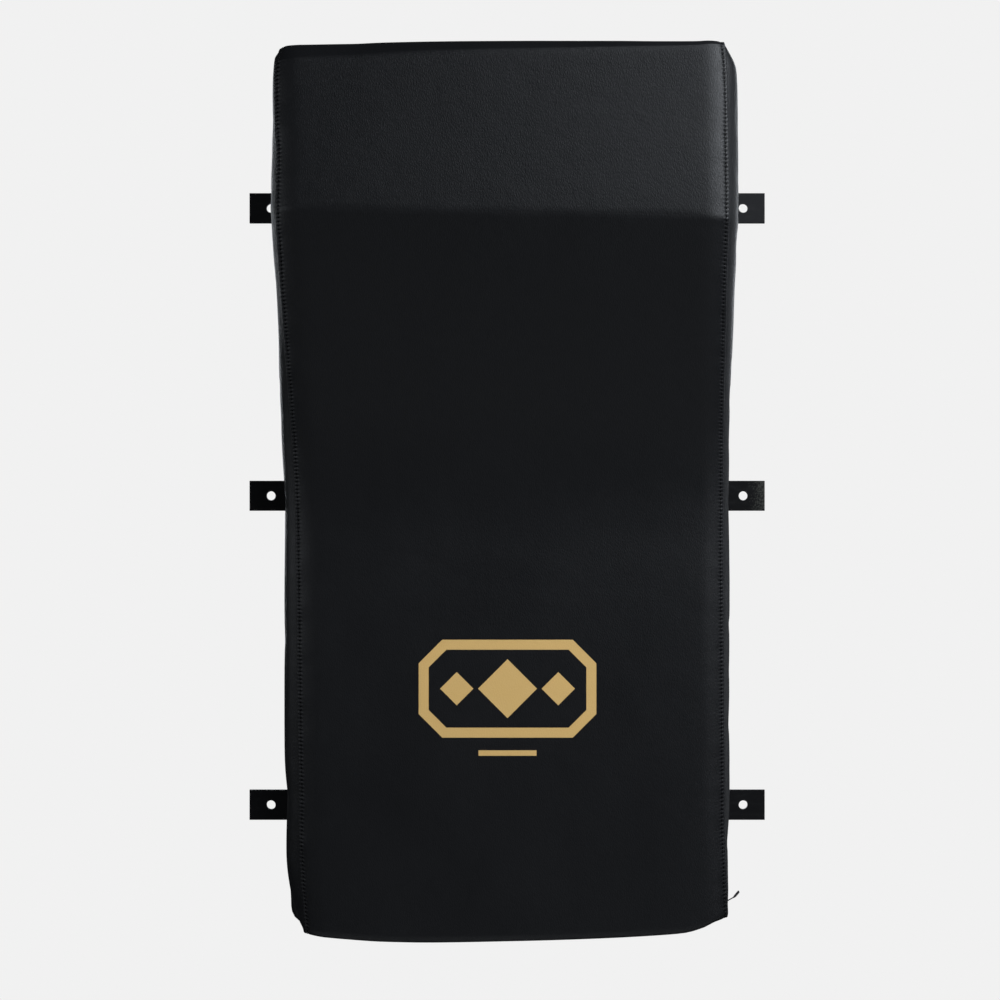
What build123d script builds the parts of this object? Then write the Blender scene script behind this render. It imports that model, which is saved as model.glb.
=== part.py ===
"""Wall-mounted striking pad: a foam body with a protruding upper nose on a plywood board,
sewn into a synthetic leather cover and carried by three steel flat bars with screw holes.

Frame, in millimetres: +Z is up, the wall is the plane Y = 0 and the pad stands out of it
towards -Y. The origin is the middle of the middle bar's rear face.
"""

import os

from build123d import *

os.makedirs("parts", exist_ok=True)

# ---------------------------------------------------------------- driving dimensions
# Steel bars
BAR_LENGTH = 600
BAR_WIDTH = 35
BAR_THICKNESS = 4
BAR_EDGE_CHAMFER = 0.4
BAR_HEIGHTS = {"top_bar": 335, "middle_bar": 0, "bottom_bar": -360}
WALL_HOLE_POSITIONS = (-275, 275)
WALL_HOLE_RADIUS = 5.25

# Countersunk M6 screws that hold the bars, and the tee nuts that take them
SCREW_POSITIONS = (-200, -60, 60, 200)
SCREW_HOLE_RADIUS = 3.3
COUNTERSINK_RADIUS = 6.2
SCREW_HEAD_RADIUS = 6.0
SCREW_SHANK_RADIUS = 2.95
SCREW_LENGTH = 18
SOCKET_ACROSS_FLATS = 4
SOCKET_DEPTH = 2.2
NUT_FLANGE_RADIUS = 9.5
NUT_FLANGE_THICKNESS = 1.2
NUT_BARREL_RADIUS = 4
NUT_BARREL_LENGTH = 10
NUT_BORE_RADIUS = 3
NUT_PRONGS = 4

# Pad outline. Depths are measured from the wall.
PAD_WIDTH = 500
PAD_TOP = 476
PAD_BOTTOM = -493
NOSE_DEPTH = 235
TOP_DEPTH = 226
LOWER_DEPTH = 115
RIDGE_HEIGHT = 292
VALLEY_HEIGHT = 22
BOTTOM_EDGE_RADIUS = 12
VALLEY_RADIUS = 120
RIDGE_RADIUS = 18
TOP_EDGE_RADIUS = 16

# Layers, from the wall outwards
DUST_COVER_THICKNESS = 0.6
COVER_THICKNESS = 1.2
BOARD_THICKNESS = 15
STRIKE_LAYER_THICKNESS = 30
COVER_TURN_IN = 45
DUST_COVER_INSET = 18
BOARD_INSET = 2
BOARD_CORNER_RADIUS = 20

# Top stitching, staples and the printed motif
STITCH_OFFSET = 235
THREAD_WIDTH = 0.8
THREAD_HEIGHT = 0.5
STAPLE_CROWN = 10
STAPLE_LEG = 10
STAPLE_WIRE = 0.7
STAPLE_PITCH = 52
STAPLE_EDGE_DISTANCE = 8
PRINT_HEIGHT = -213
PRINT_THICKNESS = 0.25
PRINT_FRAME = (196, 108)
PRINT_FRAME_CHAMFER = 26
PRINT_FRAME_WIDTH = 11
PRINT_LOZENGES = ((-56, 26), (0, 46), (56, 26))
PRINT_UNDERLINE = (64, 6)
PRINT_UNDERLINE_DROP = 71

# ---------------------------------------------------------------- worked-out positions
dust_cover_front = -BAR_THICKNESS - DUST_COVER_THICKNESS
board_back = dust_cover_front - COVER_THICKNESS
board_front = board_back - BOARD_THICKNESS
base_foam_front = -LOWER_DEPTH + STRIKE_LAYER_THICKNESS
foam_half_width = PAD_WIDTH / 2 - COVER_THICKNESS
foam_top = PAD_TOP - COVER_THICKNESS
foam_bottom = PAD_BOTTOM + COVER_THICKNESS
pad_height = PAD_TOP - PAD_BOTTOM
pad_middle = (PAD_TOP + PAD_BOTTOM) / 2
screw_points = [(x, z) for z in BAR_HEIGHTS.values() for x in SCREW_POSITIONS]


def side_profile(inset):
    """The pad's outline seen from the side, in (Y, Z), this far inside the cover's surface."""
    bottom_front = (-LOWER_DEPTH, PAD_BOTTOM)
    valley = (-LOWER_DEPTH, VALLEY_HEIGHT)
    ridge = (-NOSE_DEPTH, RIDGE_HEIGHT)
    top_front = (-TOP_DEPTH, PAD_TOP)
    rounded = (
        (bottom_front, BOTTOM_EDGE_RADIUS),
        (valley, VALLEY_RADIUS),
        (ridge, RIDGE_RADIUS),
        (top_front, TOP_EDGE_RADIUS),
    )
    with BuildSketch(mode=Mode.PRIVATE) as outline:
        with BuildLine():
            Polyline(
                (dust_cover_front, PAD_BOTTOM),
                bottom_front,
                valley,
                ridge,
                top_front,
                (dust_cover_front, PAD_TOP),
                close=True,
            )
        make_face()
        for corner, radius in rounded:
            fillet(outline.vertices().sort_by_distance(Vector(*corner))[0], radius)
        if inset:
            offset(amount=-inset)
    return outline.sketch


skin_profile = side_profile(0)
foam_profile = side_profile(COVER_THICKNESS)
thread_profile = side_profile(-THREAD_HEIGHT)

# ---------------------------------------------------------------- plywood board
with BuildPart() as backboard:
    with BuildSketch(Plane.XZ.offset(-board_back)):
        with Locations((0, pad_middle)):
            RectangleRounded(
                PAD_WIDTH - 2 * BOARD_INSET,
                pad_height - 2 * BOARD_INSET,
                BOARD_CORNER_RADIUS,
            )
    extrude(amount=BOARD_THICKNESS)
    with Locations([Plane((x, board_front, z), z_dir=(0, -1, 0)) for x, z in screw_points]):
        CounterBoreHole(NUT_BARREL_RADIUS, NUT_FLANGE_RADIUS, NUT_FLANGE_THICKNESS)
backboard.part.label = "backboard"

# ---------------------------------------------------------------- foam body
with BuildPart() as base_foam:
    with BuildSketch(Plane.XZ.offset(-board_front)):
        with Locations((0, pad_middle)):
            Rectangle(2 * foam_half_width, foam_top - foam_bottom)
    extrude(amount=board_front - base_foam_front)
base_foam.part.label = "base_foam"

with BuildPart() as nose_block:
    with BuildSketch(Plane.YZ):
        with BuildLine():
            Polyline(
                (base_foam_front, VALLEY_HEIGHT),
                (-NOSE_DEPTH + STRIKE_LAYER_THICKNESS, RIDGE_HEIGHT),
                (-TOP_DEPTH + STRIKE_LAYER_THICKNESS, foam_top),
                (base_foam_front, foam_top),
                close=True,
            )
        make_face()
    extrude(amount=foam_half_width, both=True)
nose_block.part.label = "nose_block"

with BuildPart() as strike_layer:
    with BuildSketch(Plane.YZ):
        add(foam_profile)
        with BuildLine():
            Polyline(
                (board_back, foam_bottom),
                (base_foam_front, foam_bottom),
                (base_foam_front, VALLEY_HEIGHT),
                (-NOSE_DEPTH + STRIKE_LAYER_THICKNESS, RIDGE_HEIGHT),
                (-TOP_DEPTH + STRIKE_LAYER_THICKNESS, foam_top),
                (board_back, foam_top),
                close=True,
            )
        make_face(mode=Mode.SUBTRACT)
    extrude(amount=foam_half_width, both=True)
strike_layer.part.label = "strike_layer"

# ---------------------------------------------------------------- synthetic leather cover
turn_in_half_width = PAD_WIDTH / 2 - COVER_TURN_IN

with BuildPart() as front_wrap:
    with BuildSketch(Plane.YZ):
        add(skin_profile)
        add(foam_profile, mode=Mode.SUBTRACT)
    extrude(amount=foam_half_width, both=True)
    with BuildSketch(Plane.XZ.offset(-dust_cover_front)):
        with Locations((0, pad_middle)):
            Rectangle(PAD_WIDTH, pad_height - 2 * COVER_TURN_IN)
            with GridLocations(2 * turn_in_half_width + 2 * COVER_TURN_IN, 0, 2, 1):
                Rectangle(2 * COVER_TURN_IN, pad_height - 2 * COVER_THICKNESS)
    extrude(amount=COVER_THICKNESS, mode=Mode.SUBTRACT)
front_wrap.part.label = "front_wrap"

gussets = {}
for name, side in (("left_gusset", -1), ("right_gusset", 1)):
    with BuildPart() as gusset:
        with BuildSketch(Plane.YZ.offset(side * foam_half_width)):
            add(skin_profile)
        extrude(amount=side * COVER_THICKNESS)
        with BuildSketch(Plane.XZ.offset(-dust_cover_front)):
            with Locations((side * (PAD_WIDTH - COVER_TURN_IN) / 2, pad_middle)):
                Rectangle(COVER_TURN_IN, foam_top - foam_bottom)
        extrude(amount=COVER_THICKNESS)
    gusset.part.label = name
    gussets[name] = gusset

topstitches = {}
for name, side in (("left_topstitch", -1), ("right_topstitch", 1)):
    with BuildPart() as topstitch:
        with BuildSketch(Plane.YZ.offset(side * STITCH_OFFSET)):
            add(thread_profile)
            add(skin_profile, mode=Mode.SUBTRACT)
            with Locations((0, pad_middle)):
                Rectangle(-2 * board_front, 2 * pad_height, mode=Mode.SUBTRACT)
        extrude(amount=THREAD_WIDTH / 2, both=True)
    topstitch.part.label = name
    topstitches[name] = topstitch

# ---------------------------------------------------------------- printed motif
with BuildPart() as front_print:
    with BuildSketch(Plane.XZ.offset(LOWER_DEPTH)):
        with Locations((0, PRINT_HEIGHT)):
            frame = Rectangle(*PRINT_FRAME)
        chamfer(frame.vertices(), PRINT_FRAME_CHAMFER)
        offset(amount=-PRINT_FRAME_WIDTH, mode=Mode.SUBTRACT)
        for x, side in PRINT_LOZENGES:
            with Locations((x, PRINT_HEIGHT)):
                Rectangle(side, side, rotation=45)
        with Locations((0, PRINT_HEIGHT - PRINT_UNDERLINE_DROP)):
            Rectangle(*PRINT_UNDERLINE)
    extrude(amount=PRINT_THICKNESS)
front_print.part.label = "front_print"

# ---------------------------------------------------------------- rear dust cover
dust_cover_width = PAD_WIDTH - 2 * DUST_COVER_INSET
dust_cover_height = pad_height - 2 * DUST_COVER_INSET

with BuildPart() as dust_cover:
    with BuildSketch(Plane.XZ.offset(BAR_THICKNESS)):
        with Locations((0, pad_middle)):
            Rectangle(dust_cover_width, dust_cover_height)
        with Locations(screw_points):
            Circle(SCREW_HOLE_RADIUS, mode=Mode.SUBTRACT)
    extrude(amount=DUST_COVER_THICKNESS)
dust_cover.part.label = "dust_cover"


def staple_places():
    """Where the staples sit on the rear, as (x, z, turn), with the bars' stretches left out."""
    half_width = dust_cover_width / 2 - STAPLE_EDGE_DISTANCE
    half_height = dust_cover_height / 2 - STAPLE_EDGE_DISTANCE
    clear_of_bar = (BAR_WIDTH + STAPLE_CROWN) / 2 + 2
    places = []
    across = int(2 * half_width / STAPLE_PITCH)
    for step in range(across):
        x = (step - (across - 1) / 2) * STAPLE_PITCH
        places += [(x, pad_middle + half_height, 0), (x, pad_middle - half_height, 0)]
    up = int(2 * half_height / STAPLE_PITCH)
    for step in range(up):
        z = pad_middle + (step - (up - 1) / 2) * STAPLE_PITCH
        if all(abs(z - bar) > clear_of_bar for bar in BAR_HEIGHTS.values()):
            places += [(-half_width, z, 90), (half_width, z, 90)]
    return places


with BuildPart() as rear_staples:
    with Locations(
        [Location((x, -BAR_THICKNESS, z), (0, turn, 0)) for x, z, turn in staple_places()]
    ):
        Box(
            STAPLE_CROWN,
            STAPLE_WIRE,
            STAPLE_WIRE,
            align=(Align.CENTER, Align.MIN, Align.CENTER),
        )
        with GridLocations(STAPLE_CROWN - STAPLE_WIRE, 0, 2, 1):
            Box(
                STAPLE_WIRE,
                STAPLE_LEG,
                STAPLE_WIRE,
                align=(Align.CENTER, Align.MAX, Align.CENTER),
            )
rear_staples.part.label = "rear_staples"

# ---------------------------------------------------------------- wall bars
bars = {}
for name, height in BAR_HEIGHTS.items():
    with BuildPart() as bar:
        with BuildSketch(Plane.XZ):
            with Locations((0, height)):
                Rectangle(BAR_LENGTH, BAR_WIDTH)
        extrude(amount=BAR_THICKNESS)
        chamfer(bar.edges().filter_by(Axis.X), BAR_EDGE_CHAMFER)
        with Locations([Plane((x, 0, height), z_dir=(0, 1, 0)) for x in SCREW_POSITIONS]):
            CounterSinkHole(SCREW_HOLE_RADIUS, COUNTERSINK_RADIUS, counter_sink_angle=90)
        with Locations([Plane((x, 0, height), z_dir=(0, 1, 0)) for x in WALL_HOLE_POSITIONS]):
            Hole(WALL_HOLE_RADIUS)
    bar.part.label = name
    bars[name] = bar

# ---------------------------------------------------------------- bar screws and tee nuts
head_sink = COUNTERSINK_RADIUS - SCREW_HEAD_RADIUS
head_depth = SCREW_HEAD_RADIUS - SCREW_SHANK_RADIUS

with BuildPart() as bar_screws:
    for x, z in screw_points:
        rear = Plane((x, -head_sink, z), z_dir=(0, -1, 0))
        with BuildSketch(rear):
            Circle(SCREW_HEAD_RADIUS)
        with BuildSketch(rear.offset(head_depth)):
            Circle(SCREW_SHANK_RADIUS)
        loft()
        with BuildSketch(rear.offset(head_depth)):
            Circle(SCREW_SHANK_RADIUS)
        extrude(amount=SCREW_LENGTH - head_depth)
        with BuildSketch(rear):
            RegularPolygon(SOCKET_ACROSS_FLATS / 2, 6, major_radius=False)
        extrude(amount=SOCKET_DEPTH, mode=Mode.SUBTRACT)
bar_screws.part.label = "bar_screws"

with BuildPart() as tee_nuts:
    for x, z in screw_points:
        front = Plane((x, board_front, z), z_dir=(0, 1, 0))
        with BuildSketch(front):
            Circle(NUT_FLANGE_RADIUS)
        extrude(amount=NUT_FLANGE_THICKNESS)
        with BuildSketch(front):
            Circle(NUT_BARREL_RADIUS)
        extrude(amount=NUT_BARREL_LENGTH)
        with BuildSketch(front.offset(NUT_FLANGE_THICKNESS)):
            with PolarLocations(NUT_FLANGE_RADIUS - 1.5, NUT_PRONGS):
                Rectangle(NUT_FLANGE_THICKNESS, 2)
        extrude(amount=NUT_BARREL_LENGTH / 2)
        with BuildSketch(front):
            Circle(NUT_BORE_RADIUS)
        extrude(amount=NUT_BARREL_LENGTH, mode=Mode.SUBTRACT)
tee_nuts.part.label = "tee_nuts"

# ---------------------------------------------------------------- one STEP per sub-part
pieces = [
    backboard,
    base_foam,
    nose_block,
    strike_layer,
    front_wrap,
    *gussets.values(),
    *topstitches.values(),
    front_print,
    dust_cover,
    rear_staples,
    *bars.values(),
    bar_screws,
    tee_nuts,
]
for piece in pieces:
    export_step(piece.part, f"parts/{piece.part.label}.step")
    print(piece.part.label, len(piece.part.solids()), "solids")
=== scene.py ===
"""Looks for the wall-mounted striking pad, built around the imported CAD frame.

Surfaces are worked out in millimetres as (across, depth, height), where depth is measured out
of the wall, and become meshes in metres in the part's own frame.
"""

import math

import bpy
import numpy as np
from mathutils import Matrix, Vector
from mathutils.bvhtree import BVHTree


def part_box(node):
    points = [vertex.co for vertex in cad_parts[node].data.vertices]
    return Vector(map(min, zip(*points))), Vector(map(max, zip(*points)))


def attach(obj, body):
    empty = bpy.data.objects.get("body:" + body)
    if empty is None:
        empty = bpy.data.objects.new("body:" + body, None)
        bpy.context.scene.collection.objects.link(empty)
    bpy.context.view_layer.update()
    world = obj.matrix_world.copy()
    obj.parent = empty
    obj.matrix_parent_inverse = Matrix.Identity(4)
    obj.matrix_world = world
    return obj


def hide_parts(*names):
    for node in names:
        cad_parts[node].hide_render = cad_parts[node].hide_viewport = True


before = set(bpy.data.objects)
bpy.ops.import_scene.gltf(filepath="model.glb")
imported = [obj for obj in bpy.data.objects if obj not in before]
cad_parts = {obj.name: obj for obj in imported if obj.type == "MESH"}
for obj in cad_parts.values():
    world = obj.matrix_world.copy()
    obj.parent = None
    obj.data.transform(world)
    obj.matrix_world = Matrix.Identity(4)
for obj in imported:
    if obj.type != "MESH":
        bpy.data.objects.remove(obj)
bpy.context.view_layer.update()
rng = np.random.default_rng(7)

# ------------------------ sizes, in millimetres
wrap_low, wrap_high = (corner * 1000 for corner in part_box("front_wrap"))
print_low, print_high = (corner * 1000 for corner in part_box("front_print"))
board_low, board_high = (corner * 1000 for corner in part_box("backboard"))
cloth_low, cloth_high = (corner * 1000 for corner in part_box("dust_cover"))
gusset_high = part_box("right_gusset")[1] * 1000
stitch_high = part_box("right_topstitch")[1] * 1000

PAD_TOP = wrap_high.z
PAD_BOTTOM = wrap_low.z
SIDE = gusset_high.x - 1.2
LIP = stitch_high.x + 2
FACE = -print_high.y
MIDDLE = (PAD_TOP + PAD_BOTTOM) / 2
# Depths of the ridge, the top block's front and the margin turned in behind the board
NOSE = 235.0
TOP_DEPTH = 226.0
MARGIN_DEPTH = 5.1
MARGIN = 45.0
# Where the slope meets the lower face, and the radii along the side profile
VALLEY = 22.0
VALLEY_RADIUS = 350.0
BOTTOM_RADIUS = 10.0
RIDGE_RADIUS = 14.0
BROW_RADIUS = 2.5
MARGIN_RADIUS = 2.0
# Half the front panel's width at the wall, and the radius of the pad's rear corners
REAR_HALF = 243.0
CORNER = 21.0
# The backboard's outline: its corner radius and the half-size of the rectangle inside its corners
BOARD_CORNER = 20.0
BOARD_CORE = np.array([board_high.x, (board_high.z - board_low.z) / 2]) - BOARD_CORNER
# How far the front panel and the side panels stay outside that outline
WRAP_CLEARANCE = 1.3
GUSSET_CLEARANCE = 0.7

# Soft shape of the cover: how each feature changes across the pad, from the left seam to the right
TOP_EDGE = (
    (-237, 0.9), (-228, 2.5), (-203, 3.0), (-128, 4.1), (0, 3.1),
    (123, 1.4), (165, 0.6), (207, 0.2), (220, 0.8), (237, 1.0),
)
TOP_BEVEL = ((-237, 22.5), (-160, 22.5), (-130, 20.5), (-52, 16), (78, 11.3), (208, 6.4), (237, 5))
RIDGE = ((-237, 297.7), (-100, 294.5), (0, 292.5), (120, 291), (237, 288.4))
BOTTOM_EDGE = (
    (-237, 6), (-214, 3.4), (-191, 1.2), (-147, -1.8), (-102, -2.6), (0, -0.9),
    (99, 2.7), (166, 6.6), (188, 8.8), (207, 14.6), (223, 22.6), (237, 25),
)
LEAN = ((-496, 9), (-350, 5), (-10, 2), (150, -3), (290, -6.5), (480, -6))
# How far each seam stands outside its straight line, up the pad
SEAM_OUT = {
    -1: (
        (-496, -2.5), (-440, 0), (-404, 1), (-337, -0.3), (-200, 0.5), (-71, 1), (0, 1.1),
        (150, 0.5), (318, -0.2), (350, -0.7), (384, 1), (434, 2.6), (476, 1.5),
    ),
    1: (
        (-496, -0.5), (-470, 0), (-440, -0.5), (-393, -0.9), (-304, 0.3), (-71, 0.5), (0, 1),
        (150, 1), (307, 1.1), (393, 0.1), (434, -0.5), (467, -2.5), (476, -3.5),
    ),
}
# The rounding of the foam's long edges, and how much the face is crowned between them
EDGE_START = 212.0
EDGE_RADIUS = 36.0
CROWN = 1.5
# The top bevel reaches back this many times as far as it reaches down
BEVEL_RUN = 1.4

# Stitching
PITCH = 4.3
SEAM_INSET = 4.2
FIRST_STITCH_DEPTH = 21.0
# The cut end of the sewing thread, standing out of the right seam near the bottom
THREAD_TAIL = (
    (236, -104, -451), (240.5, -109, -450), (245, -111, -446.8),
    (250, -111.5, -443.8), (253.5, -110, -440.6), (256.3, -109, -437.8),
)


def curve(at, table):
    """A smooth curve through (position, value) pairs without overshoot, held at its ends."""
    xs, ys = np.array(table, float).T
    rise = np.diff(ys) / np.diff(xs)
    slope = np.zeros(len(xs))
    same = rise[:-1] * rise[1:] > 0
    slope[1:-1][same] = 2 * rise[:-1][same] * rise[1:][same] / (rise[:-1] + rise[1:])[same]
    at = np.clip(at, xs[0], xs[-1])
    i = np.clip(np.searchsorted(xs, at) - 1, 0, len(xs) - 2)
    step = xs[i + 1] - xs[i]
    t = (at - xs[i]) / step
    near = (1 + 2 * t) * (1 - t) ** 2 * ys[i] + t * (1 - t) ** 2 * step * slope[i]
    far = t * t * (3 - 2 * t) * ys[i + 1] + t * t * (t - 1) * step * slope[i + 1]
    return near + far


def smooth_step(low, high, value):
    t = np.clip((value - low) / (high - low), 0, 1)
    return t * t * (3 - 2 * t)


def wave_noise(points, scale, seed, waves=14):
    """Smooth noise about -1 to 1 at (N, 3) points: a sum of plane waves about scale apart."""
    draw = np.random.default_rng(seed)
    total = np.zeros(len(points))
    for _ in range(waves):
        direction = draw.normal(size=3)
        direction /= np.linalg.norm(direction)
        length = scale * draw.uniform(0.7, 1.6)
        total += np.sin(points @ direction * (2 * math.pi / length) + draw.uniform(0, 2 * math.pi))
    return total / math.sqrt(waves)


# ------------------------ the cover's side profile
# Mesh rows along each straight stretch and each rounded corner of the profile
STRAIGHT_ROWS = (9, 40, 5, 32, 52, 96, 22, 9)
ARC_ROWS = (5, 6, 6, 8, 14, 14, 5)


def rounded(corners, radii):
    """Points along a polyline with rounded inner corners: the same number for every station."""
    corners = [np.array(c, float) for c in corners]
    start = corners[0]
    points = [start[None]]
    for k, (radius, rows, arc_rows) in enumerate(zip(radii, STRAIGHT_ROWS, ARC_ROWS, strict=False), 1):
        into = corners[k] - corners[k - 1]
        out = corners[k + 1] - corners[k]
        into, out = into / np.linalg.norm(into), out / np.linalg.norm(out)
        turn = math.atan2(into[0] * out[1] - into[1] * out[0], into @ out)
        first = corners[k] - into * radius * math.tan(abs(turn) / 2)
        across = np.array([-into[1], into[0]]) * math.copysign(radius, turn)
        points.append(np.linspace(start, first, rows + 1)[1:])
        angles = np.linspace(0, turn, arc_rows + 1)[1:, None]
        centre = first + across
        points.append(centre - across * np.cos(angles) + np.array([across[1], -across[0]]) * np.sin(angles))
        start = points[-1][-1]
    points.append(np.linspace(start, corners[-1], STRAIGHT_ROWS[-1] + 1)[1:])
    return np.vstack(points)


def edge_drop(u):
    """How far the front falls back towards the wall where the foam's long edges are rounded."""
    past = np.clip(np.abs(u) - EDGE_START, 0, EDGE_RADIUS * 0.72)
    crown = CROWN * (np.abs(u) / LIP) ** 3
    return EDGE_RADIUS - np.sqrt(EDGE_RADIUS**2 - past**2) + crown


def corner_fall(x):
    """How far the rear corners of the board fall away from its top and bottom edges."""
    past = np.clip(np.abs(x) - (SIDE - CORNER), 0, CORNER * 0.999)
    return CORNER - np.sqrt(CORNER**2 - past**2)


def station(u, shrink=0.0):
    """The cover's side profile where it is u across, as (depth, height), from margin to margin."""
    drop = edge_drop(u) + shrink
    top = PAD_TOP + curve(u, TOP_EDGE) - shrink
    bottom = PAD_BOTTOM + curve(u, BOTTOM_EDGE) + shrink
    fall = corner_fall(u * REAR_HALF / LIP)
    back_top = PAD_TOP - fall - shrink
    back_bottom = PAD_BOTTOM + fall + shrink
    bevel = curve(u, TOP_BEVEL)
    corners = (
        (MARGIN_DEPTH, back_top - MARGIN),
        (MARGIN_DEPTH, back_top),
        (TOP_DEPTH - drop - BEVEL_RUN * bevel, top),
        (TOP_DEPTH - drop, top - bevel),
        (NOSE - drop, curve(u, RIDGE)),
        (FACE - drop, VALLEY),
        (FACE - drop, bottom),
        (MARGIN_DEPTH, back_bottom),
        (MARGIN_DEPTH, back_bottom + MARGIN),
    )
    radii = (MARGIN_RADIUS, bevel, BROW_RADIUS, RIDGE_RADIUS, VALLEY_RADIUS, BOTTOM_RADIUS, MARGIN_RADIUS)
    return rounded(corners, radii)


def lean(depth, height):
    """The soft body leans a little sideways, more the further it stands out of the wall."""
    face = np.interp(height, (VALLEY, 292), (105, 225))
    return curve(height, LEAN) * np.clip(depth / face, 0, 1)


def seam_half_width(depth, height, side):
    """Half the front panel's width, which widens towards the wall over its last stretch."""
    behind = np.clip(1 - depth / 100, 0, 1)
    return LIP + curve(height, SEAM_OUT[side]) * (1 - behind) + 6 * behind


def to_frame(across, depth, height):
    return np.stack([across, -depth, height], axis=-1)


# Distances of the front panel's outer mesh columns from its edge, close together at the seam
EDGE_COLUMNS = (
    0, 0.4, 1, 1.8, 2.6, 3.2, 3.7, 4.2, 4.7, 5.4, 6.5, 8, 10, 12.5, 15.5, 19, 23, 28, 34, 41, 49, 58,
)
seam_columns = np.array(EDGE_COLUMNS, float)
inner_columns = np.linspace(-(LIP - 67), LIP - 67, 40)
columns = np.concatenate([-LIP + seam_columns, inner_columns, (LIP - seam_columns)[::-1]])


def clear_of_board(grid, gap):
    """Points beside the backboard moved outwards where its edge would show through them."""
    offset = grid[..., [0, 2]] - (0, MIDDLE)
    past = np.maximum(np.abs(offset) - BOARD_CORE, 0)
    away = np.linalg.norm(past, axis=-1)
    short = np.clip(BOARD_CORNER + gap - away, 0, None) * smooth_step(8, 14, away)
    beside = 1 - smooth_step(24, 54, -grid[..., 1])
    push = past / np.maximum(away, 1)[..., None] * np.sign(offset) * (short * beside)[..., None]
    grid[..., 0] += push[..., 0]
    grid[..., 2] += push[..., 1]
    return grid


def wrap_surface(us):
    """The front panel's smooth shape on a grid of rows along the profile and columns across."""
    profiles = np.stack([station(u) for u in us], axis=1)
    depth, height = profiles[..., 0], profiles[..., 1]
    half = np.where(us < 0, seam_half_width(depth, height, -1), seam_half_width(depth, height, 1))
    across = lean(depth, height) + us[None, :] * half / LIP
    grid = to_frame(across, depth, height)
    body = slice(STRAIGHT_ROWS[0] + 1, len(grid) - STRAIGHT_ROWS[-1] - 1)
    grid[body] = clear_of_board(grid[body], WRAP_CLEARANCE)
    return grid


def grid_normals(grid):
    """Unit normals of a grid of points, out of the pad when rows run down the front."""
    along = np.gradient(grid, axis=0)
    across = np.gradient(grid, axis=1)
    normal = np.cross(along, across)
    return normal / np.maximum(np.linalg.norm(normal, axis=-1, keepdims=True), 1e-9)


def arc_length(points):
    steps = np.linalg.norm(np.diff(points, axis=0), axis=-1)
    return np.concatenate([[0], np.cumsum(steps)])


# ------------------------ meshes
def mesh_object(name, points, faces, attributes=None):
    """An object from points in millimetres, smooth shaded, with named point attributes."""
    mesh = bpy.data.meshes.new(name)
    mesh.from_pydata((np.asarray(points) / 1000).tolist(), [], faces)
    mesh.polygons.foreach_set("use_smooth", [True] * len(mesh.polygons))
    for key, values in (attributes or {}).items():
        kind, field = ("FLOAT_VECTOR", "vector") if np.ndim(values) == 2 else ("FLOAT", "value")
        attribute = mesh.attributes.new(key, kind, "POINT")
        attribute.data.foreach_set(field, np.asarray(values, np.float32).ravel())
    mesh.update()
    made = bpy.data.objects.new(name, mesh)
    bpy.context.scene.collection.objects.link(made)
    return made


def grid_faces(rows, cols, flip=False):
    corner = (np.arange(rows - 1)[:, None] * cols + np.arange(cols - 1)[None, :]).ravel()
    faces = np.stack([corner, corner + cols, corner + cols + 1, corner + 1], axis=1)
    return (faces[:, ::-1] if flip else faces).tolist()


# ------------------------ cloth
def relaxed(name, grid, hold, pressure, spare, cap, flip=False, frames=20):
    """How far each point of a sewn panel moves when it is simulated as cloth, capped.

    hold is each point's hold on the foam behind it, from 0, free, to 1, sewn down, and spare is
    the share by which the cloth was cut larger than its place.
    """
    rows, cols = grid.shape[:2]
    panel = mesh_object(name, grid.reshape(-1, 3), grid_faces(rows, cols, flip))
    group = panel.vertex_groups.new(name="hold")
    for index, weight in enumerate(hold.ravel()):
        group.add([index], float(weight), "REPLACE")
    modifier = panel.modifiers.new("Cloth", "CLOTH")
    settings = modifier.settings
    settings.quality = 6
    settings.mass = 0.3
    settings.tension_stiffness = 25
    settings.compression_stiffness = 12
    settings.shear_stiffness = 8
    settings.bending_stiffness = 0.8
    settings.air_damping = 4
    settings.vertex_group_mass = "hold"
    settings.pin_stiffness = 1.2
    settings.shrink_min = -spare
    settings.use_pressure = pressure > 0
    settings.uniform_pressure_force = pressure
    settings.effector_weights.gravity = 0
    modifier.collision_settings.use_collision = False
    modifier.point_cache.frame_start = 1
    modifier.point_cache.frame_end = frames
    for number in range(1, frames + 1):
        bpy.context.scene.frame_set(number)
    graph = bpy.context.evaluated_depsgraph_get()
    settled = np.zeros(rows * cols * 3, np.float32)
    panel.evaluated_get(graph).data.vertices.foreach_get("co", settled)
    moved = settled.reshape(rows, cols, 3).astype(float) * 1000 - grid
    bpy.data.objects.remove(panel)
    bpy.context.scene.frame_set(1)
    length = np.maximum(np.linalg.norm(moved, axis=-1, keepdims=True), 1e-9)
    print(name, "cloth moved up to", round(float(length.max()), 2), "mm")
    return moved / length * cap * np.tanh(length / cap)


def spread(coarse, rows, cols):
    """A coarse grid of offsets carried over to finer rows and columns, given as index positions."""
    low_r = np.clip(np.floor(rows).astype(int), 0, coarse.shape[0] - 2)
    low_c = np.clip(np.floor(cols).astype(int), 0, coarse.shape[1] - 2)
    r, c = (rows - low_r)[:, None, None], (cols - low_c)[None, :, None]
    r, c = r * r * (3 - 2 * r) * 0.5 + r * 0.5, c * c * (3 - 2 * c) * 0.5 + c * 0.5
    upper = coarse[low_r][:, low_c] * (1 - c) + coarse[low_r][:, low_c + 1] * c
    lower = coarse[low_r + 1][:, low_c] * (1 - c) + coarse[low_r + 1][:, low_c + 1] * c
    return upper * (1 - r) + lower * r


# ------------------------ front panel
wrap = wrap_surface(columns)
row_count = len(wrap)
margin_rows = STRAIGHT_ROWS[0] + ARC_ROWS[0]
body_rows = slice(margin_rows, row_count - margin_rows)

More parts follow.
